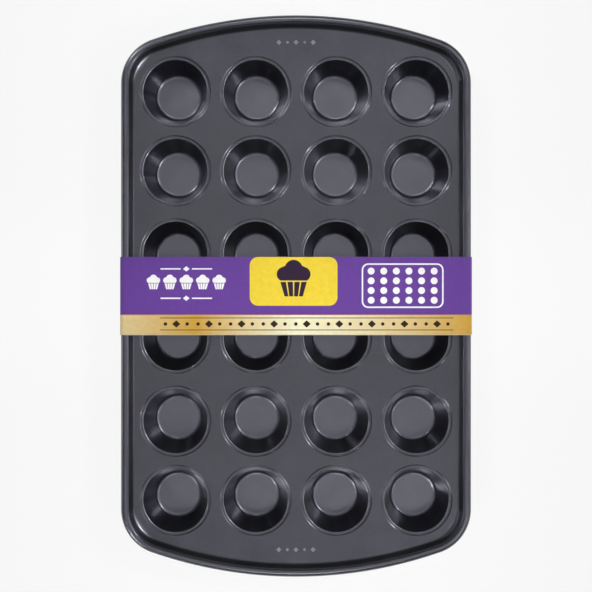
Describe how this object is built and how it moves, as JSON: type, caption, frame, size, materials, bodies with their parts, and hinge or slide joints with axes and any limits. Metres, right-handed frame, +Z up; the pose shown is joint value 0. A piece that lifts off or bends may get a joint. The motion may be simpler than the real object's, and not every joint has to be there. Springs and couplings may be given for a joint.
{
  "type": "muffin pan",
  "caption": "Mini muffin pan pressed from coated steel sheet, with bowed ends, a rim rolled over wire and a printed card sleeve round its middle.",
  "frame": {"origin": "on the table under the middle of the pan, at the underside of the card sleeve", "axes": "+Z up out of the cups, +Y along the pan from end to end, +X across it"},
  "size_m": [0.2532, 0.404, 0.0296],
  "materials": {
    "non_stick_coating": "satin",
    "wire_steel": "satin",
    "printed_card": "satin"
  },
  "bodies": {
    "pan": {"deck": "non_stick_coating", "rolled_rim": "non_stick_coating", "rim_wire": "wire_steel", "cup_row1_column1": "non_stick_coating", "cup_row1_column2": "non_stick_coating", "cup_row1_column3": "non_stick_coating", "cup_row1_column4": "non_stick_coating", "cup_row2_column1": "non_stick_coating", "cup_row2_column2": "non_stick_coating", "cup_row2_column3": "non_stick_coating", "cup_row2_column4": "non_stick_coating", "cup_row3_column1": "non_stick_coating", "cup_row3_column2": "non_stick_coating", "cup_row3_column3": "non_stick_coating", "cup_row3_column4": "non_stick_coating", "cup_row4_column1": "non_stick_coating", "cup_row4_column2": "non_stick_coating", "cup_row4_column3": "non_stick_coating", "cup_row4_column4": "non_stick_coating", "cup_row5_column1": "non_stick_coating", "cup_row5_column2": "non_stick_coating", "cup_row5_column3": "non_stick_coating", "cup_row5_column4": "non_stick_coating", "cup_row6_column1": "non_stick_coating", "cup_row6_column2": "non_stick_coating", "cup_row6_column3": "non_stick_coating", "cup_row6_column4": "non_stick_coating"},
    "sleeve": {"card_sleeve": "printed_card"}
  },
  "joints": [
    {"name": "sleeve_slide", "type": "slide", "parent": "pan", "child": "sleeve", "axis": [0, 1, 0], "range_m": [-0.235, 0.235]}
  ]
}
